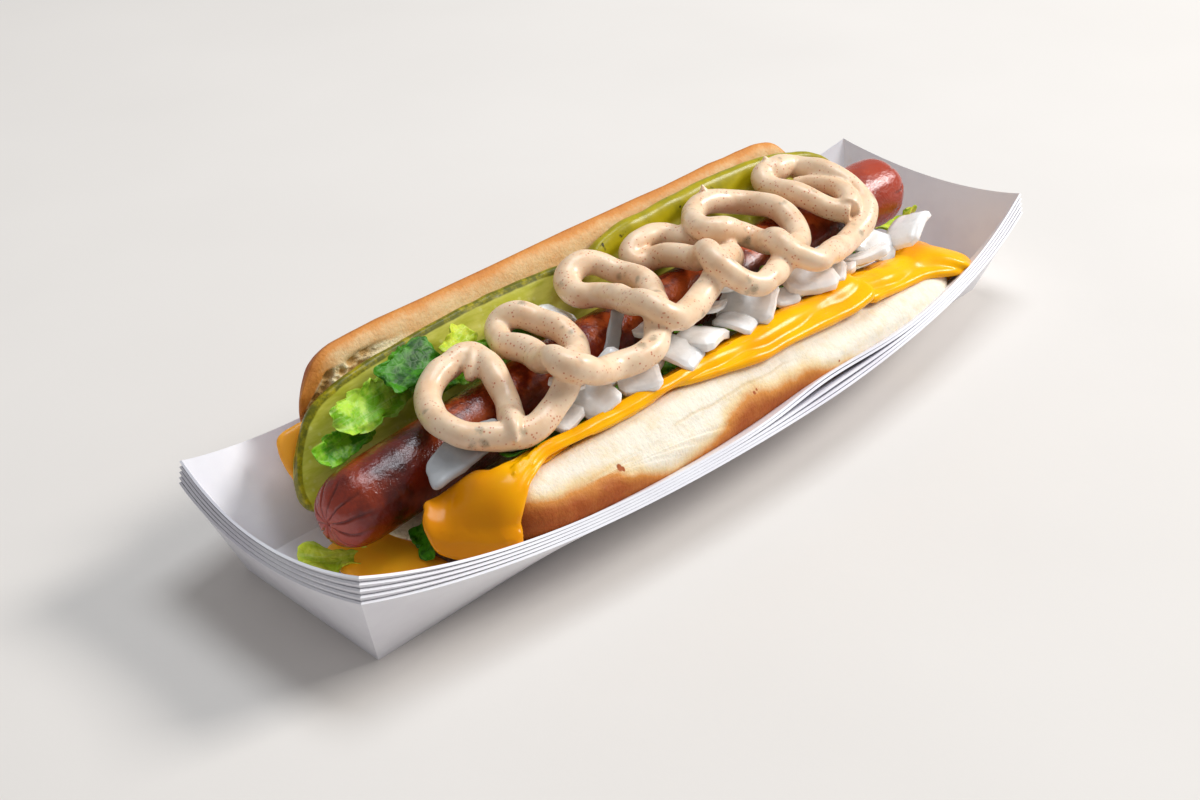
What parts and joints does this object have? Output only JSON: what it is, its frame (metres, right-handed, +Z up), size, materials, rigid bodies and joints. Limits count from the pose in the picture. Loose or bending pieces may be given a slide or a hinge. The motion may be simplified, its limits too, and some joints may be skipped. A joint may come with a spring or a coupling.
{
  "type": "hot dog",
  "caption": "Long hot dog in an open paper tray: grilled frank in a side-sliced bun with melted cheese slices, pickle planks, lettuce, diced onion and piped sauce in loops.",
  "frame": {"origin": "centre of the lowest tray's floor, on the plane that the stack stands on", "axes": "+X along the hot dog and the tray's long side, +Y across towards the bun's higher back half, +Z up"},
  "size_m": [0.288, 0.1082, 0.0619],
  "materials": {
    "paper": "smooth white paperboard",
    "crust": "baked golden crust over pale crumb",
    "sausage": "glossy browned casing",
    "pickle": "wet flesh with a dark green skin edge",
    "cheese": "soft melted sheen",
    "lettuce": "moist waxy leaf",
    "onion": "wet translucent",
    "sauce": "creamy soft gloss with fine specks"
  },
  "bodies": {
    "root": {"tray_1": "paper", "tray_2": "paper", "tray_3": "paper", "tray_4": "paper", "tray_5": "paper", "bun": "crust", "sausage": "sausage", "pickle_1": "pickle", "pickle_2": "pickle", "cheese_front": "cheese", "cheese_right": "cheese", "cheese_floor": "cheese", "cheese_back": "cheese", "lettuce_bed_front": "lettuce", "lettuce_bed_back": "lettuce", "lettuce_pale": "lettuce", "lettuce_left": "lettuce", "lettuce_dark": "lettuce", "lettuce_strip": "lettuce", "lettuce_frill": "lettuce", "lettuce_curl_1": "lettuce", "lettuce_curl_2": "lettuce", "lettuce_curl_3": "lettuce", "lettuce_bed_right": "lettuce", "lettuce_right": "lettuce", "lettuce_floor": "lettuce", "lettuce_under": "lettuce", "onion_petal": "onion", "onion_sliver_1": "onion", "onion_1": "onion", "onion_2": "onion", "onion_3": "onion", "onion_4": "onion", "onion_5": "onion", "onion_6": "onion", "onion_7": "onion", "onion_8": "onion", "onion_9": "onion", "onion_10": "onion", "onion_11": "onion", "onion_12": "onion", "onion_13": "onion", "onion_14": "onion", "onion_15": "onion", "onion_16": "onion", "onion_17": "onion", "onion_18": "onion", "onion_19": "onion", "onion_20": "onion", "onion_21": "onion", "onion_22": "onion", "onion_23": "onion", "onion_24": "onion", "onion_25": "onion", "onion_26": "onion", "sauce": "sauce"}
  },
  "joints": []
}
